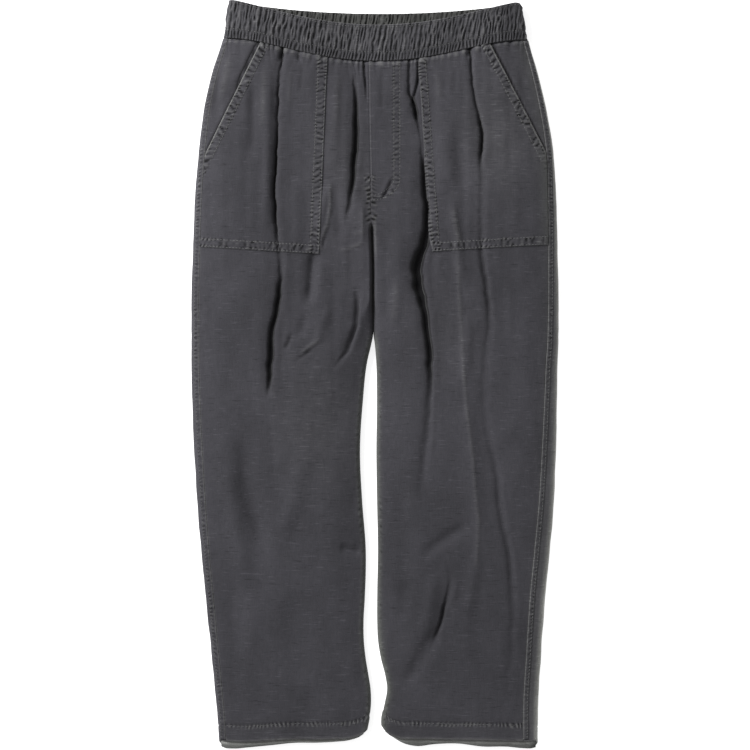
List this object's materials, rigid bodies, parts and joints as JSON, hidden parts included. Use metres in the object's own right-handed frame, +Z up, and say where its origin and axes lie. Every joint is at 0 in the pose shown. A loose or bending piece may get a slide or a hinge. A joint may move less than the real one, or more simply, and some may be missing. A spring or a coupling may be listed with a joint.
{
  "type": "casual trousers",
  "caption": "Pull-on casual trousers laid flat: gathered elastic waistband, slanted patch pockets, mock fly and straight turned-up hems.",
  "frame": {"origin": "on the floor, under the middle of the garment", "axes": "+Z up, out of the garment's front; +Y from the hems towards the waist; +X to the right as one looks down on the front"},
  "size_m": [0.5041, 1.0251, 0.0282],
  "materials": {
    "twill": "washed charcoal cotton twill with short slubs, matt",
    "twill_band": "the same cloth gathered over elastic, paler along the tops of its gathers",
    "twill_patch": "the same cloth, worn paler along its double-stitched edges"
  },
  "bodies": {
    "root": {"front_left": "twill", "front_right": "twill", "back_left": "twill", "back_right": "twill", "hem_front_left": "twill", "hem_front_right": "twill", "hem_back_left": "twill", "hem_back_right": "twill", "waistband_front": "twill_band", "waistband_back": "twill_band", "pocket_left": "twill_patch", "pocket_right": "twill_patch", "pocket_mouth_hem_left": "twill_patch", "pocket_mouth_hem_right": "twill_patch", "fly": "twill_patch"}
  },
  "joints": []
}
